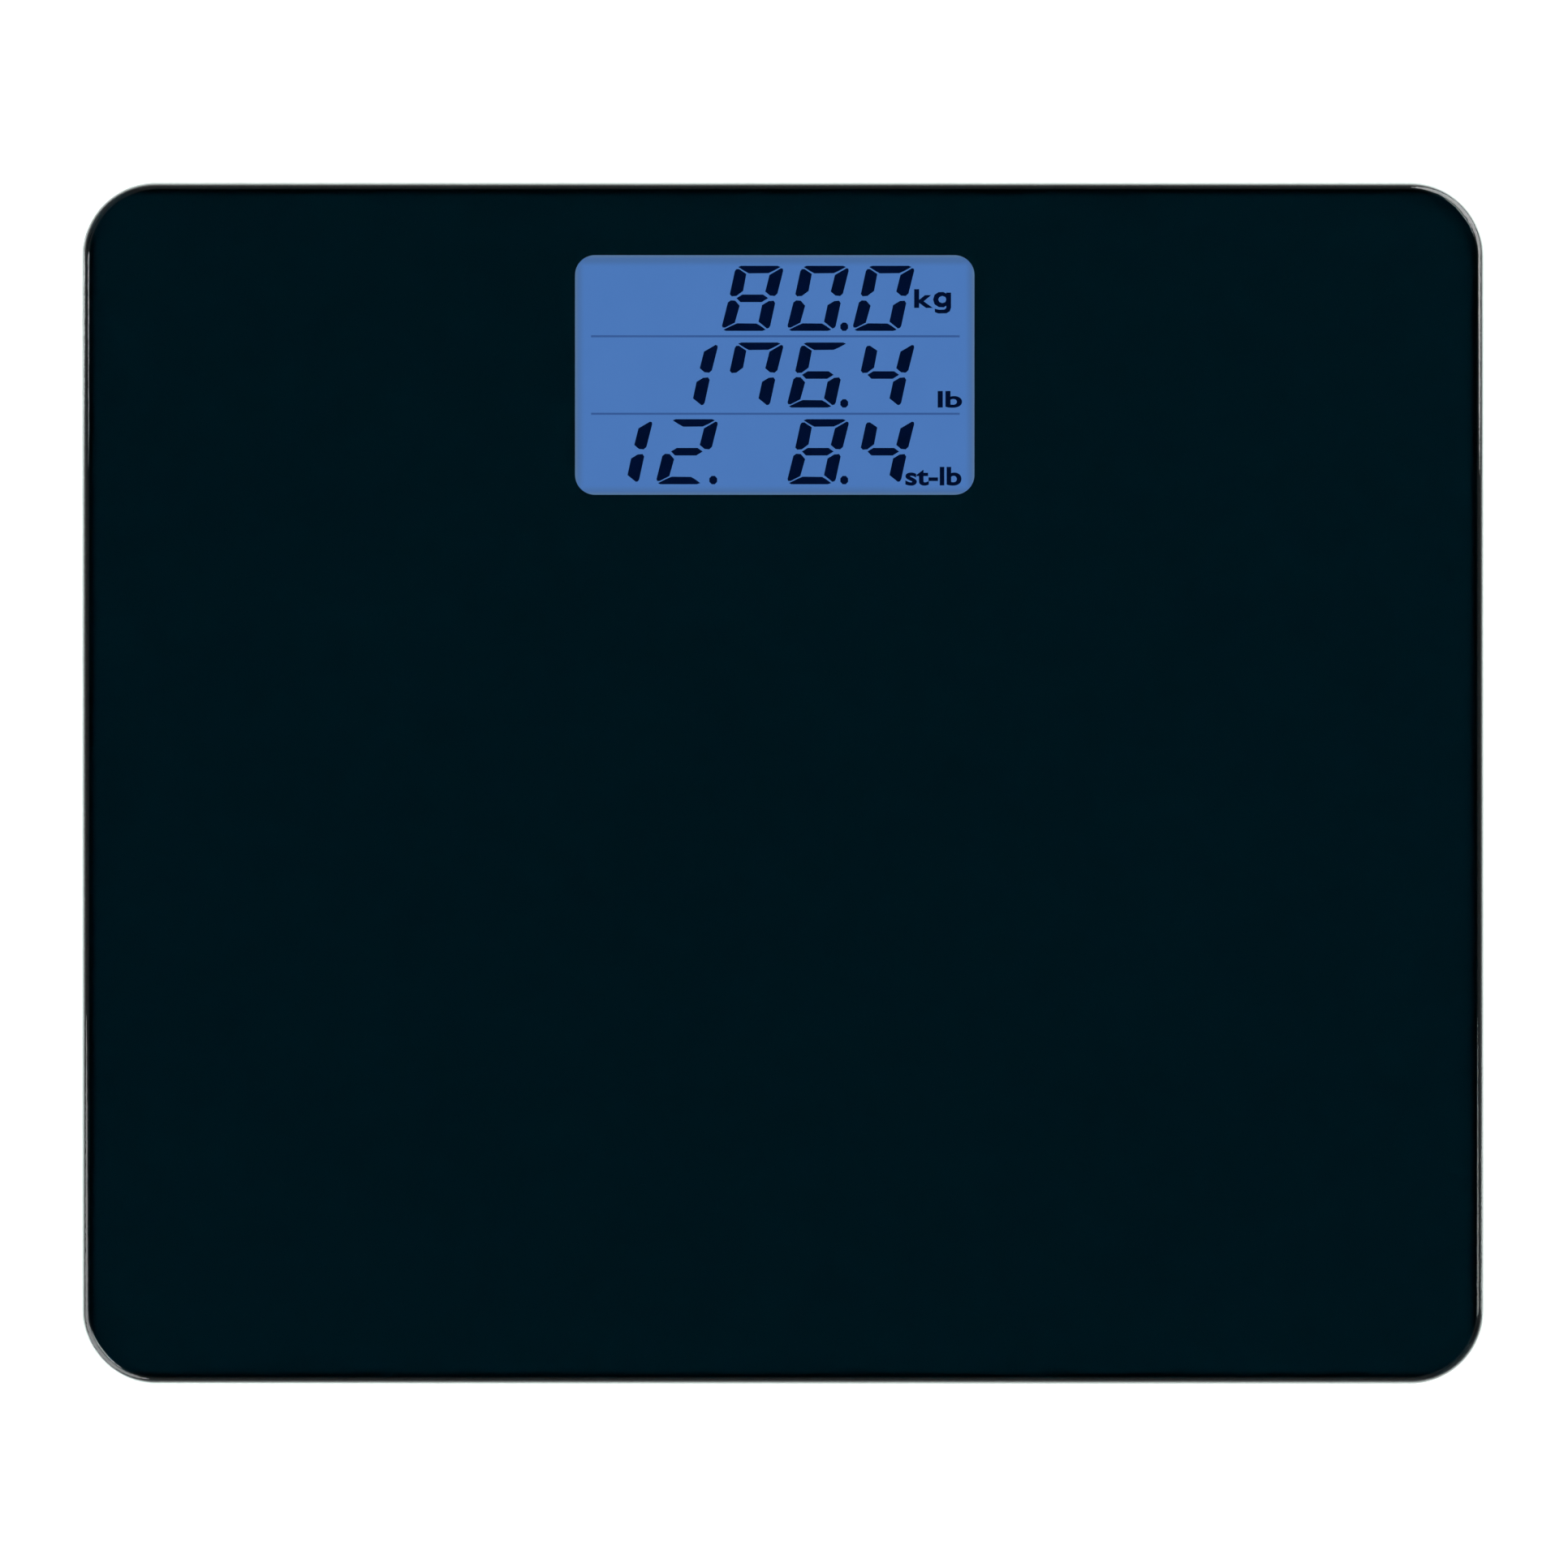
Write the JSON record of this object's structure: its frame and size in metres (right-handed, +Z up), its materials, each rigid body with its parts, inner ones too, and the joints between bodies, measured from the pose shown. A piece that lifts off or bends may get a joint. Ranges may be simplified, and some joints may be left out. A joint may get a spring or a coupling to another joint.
{
  "type": "digital bathroom scale",
  "caption": "Glass bathroom scale: a thin rounded platform on four weighing feet, with a backlit display at the rear edge and a battery door underneath.",
  "frame": {"origin": "on the floor, under the centre of the platform", "axes": "+X to the right of a person facing the display, +Y to the rear edge with the display, +Z up"},
  "size_m": [0.35, 0.3, 0.025],
  "materials": {
    "platform_glass": "tempered float glass, polished, pencil-ground edge",
    "back_print": "blue-black screen print on clear film, seen through the glass",
    "foam_tape": "closed-cell acrylic foam tape",
    "casing_abs": "injection-moulded ABS, fine spark texture",
    "display_glass": "lit liquid-crystal cell, satin polariser",
    "display_digits": "dark liquid-crystal segments",
    "holder_plastic": "white moulded ABS",
    "light_guide": "clear acrylic with a frosted dot pattern",
    "led_board": "white glass-epoxy strip with side-firing lamps",
    "elastomer": "silicone with thin carbon layers",
    "circuit_board": "glass-epoxy board with green solder mask",
    "epoxy": "black epoxy drop",
    "screw_steel": "zinc-plated steel",
    "contact_nickel": "nickel-plated spring steel",
    "cell_jacket": "printed film jacket over a steel can",
    "stamped_steel": "stamped alloy steel, nickel plated",
    "silicone": "white silicone sealant",
    "sole_rubber": "moulded rubber, matt",
    "wire_red": "red PVC insulation",
    "wire_black": "black PVC insulation",
    "wire_grey": "dark grey PVC sleeve"
  },
  "bodies": {
    "platform": {"glass_platform": "platform_glass", "back_print_film": "back_print", "housing_tape": "foam_tape", "housing": "casing_abs", "display_panel": "display_glass", "display_frame": "holder_plastic", "light_guide": "light_guide", "backlight_led_strip": "led_board", "zebra_strip": "elastomer", "main_board": "circuit_board", "controller_chip": "epoxy", "battery_link": "contact_nickel", "battery_contact_plus": "contact_nickel", "battery_contact_minus": "contact_nickel", "battery_lead_red": "wire_red", "battery_lead_black": "wire_black", "board_screw_1": "screw_steel", "battery_cell_1": "cell_jacket", "board_screw_2": "screw_steel", "battery_cell_2": "cell_jacket", "board_screw_3": "screw_steel", "battery_cell_3": "cell_jacket", "board_screw_4": "screw_steel", "battery_cell_4": "cell_jacket", "foot_tape_front_left": "foam_tape", "foot_bracket_front_left": "casing_abs", "load_cell_front_left": "stamped_steel", "strain_gauge_front_left": "silicone", "wire_channel_front_left": "casing_abs", "sensor_lead_front_left": "wire_grey", "foot_tape_front_right": "foam_tape", "foot_bracket_front_right": "casing_abs", "load_cell_front_right": "stamped_steel", "strain_gauge_front_right": "silicone", "wire_channel_front_right": "casing_abs", "sensor_lead_front_right": "wire_grey", "foot_tape_rear_left": "foam_tape", "foot_bracket_rear_left": "casing_abs", "load_cell_rear_left": "stamped_steel", "strain_gauge_rear_left": "silicone", "wire_channel_rear_left": "casing_abs", "sensor_lead_rear_left": "wire_grey", "foot_tape_rear_right": "foam_tape", "foot_bracket_rear_right": "casing_abs", "load_cell_rear_right": "stamped_steel", "strain_gauge_rear_right": "silicone", "wire_channel_rear_right": "casing_abs", "sensor_lead_rear_right": "wire_grey"},
    "battery_door": {"battery_door": "casing_abs"},
    "door_latch": {"door_latch": "casing_abs"},
    "foot_front_left": {"foot_pad_front_left": "casing_abs", "foot_sole_front_left": "sole_rubber"},
    "foot_front_right": {"foot_pad_front_right": "casing_abs", "foot_sole_front_right": "sole_rubber"},
    "foot_rear_left": {"foot_pad_rear_left": "casing_abs", "foot_sole_rear_left": "sole_rubber"},
    "foot_rear_right": {"foot_pad_rear_right": "casing_abs", "foot_sole_rear_right": "sole_rubber"}
  },
  "joints": [
    {"name": "door_hinge", "type": "hinge", "parent": "platform", "child": "battery_door", "pos_m": [-0.0021, 0.06, 0.004], "axis": [1, 0, 0], "range_deg": [0, 95], "deforming": ["door_latch"]},
    {"name": "latch_press", "type": "hinge", "parent": "battery_door", "child": "door_latch", "pos_m": [-0.0021, 0.0291, 0.00965], "axis": [1, 0, 0], "range_deg": [0, 22], "stiffness_Nm_per_rad": 0.05},
    {"name": "front_left_press", "type": "slide", "parent": "platform", "child": "foot_front_left", "axis": [0, 0, 1], "range_m": [0, 0.0005], "stiffness_N_per_m": 1000000, "deforming": ["load_cell_front_left"]},
    {"name": "front_right_press", "type": "slide", "parent": "platform", "child": "foot_front_right", "axis": [0, 0, 1], "range_m": [0, 0.0005], "stiffness_N_per_m": 1000000, "deforming": ["load_cell_front_right"]},
    {"name": "rear_left_press", "type": "slide", "parent": "platform", "child": "foot_rear_left", "axis": [0, 0, 1], "range_m": [0, 0.0005], "stiffness_N_per_m": 1000000, "deforming": ["load_cell_rear_left"]},
    {"name": "rear_right_press", "type": "slide", "parent": "platform", "child": "foot_rear_right", "axis": [0, 0, 1], "range_m": [0, 0.0005], "stiffness_N_per_m": 1000000, "deforming": ["load_cell_rear_right"]}
  ]
}
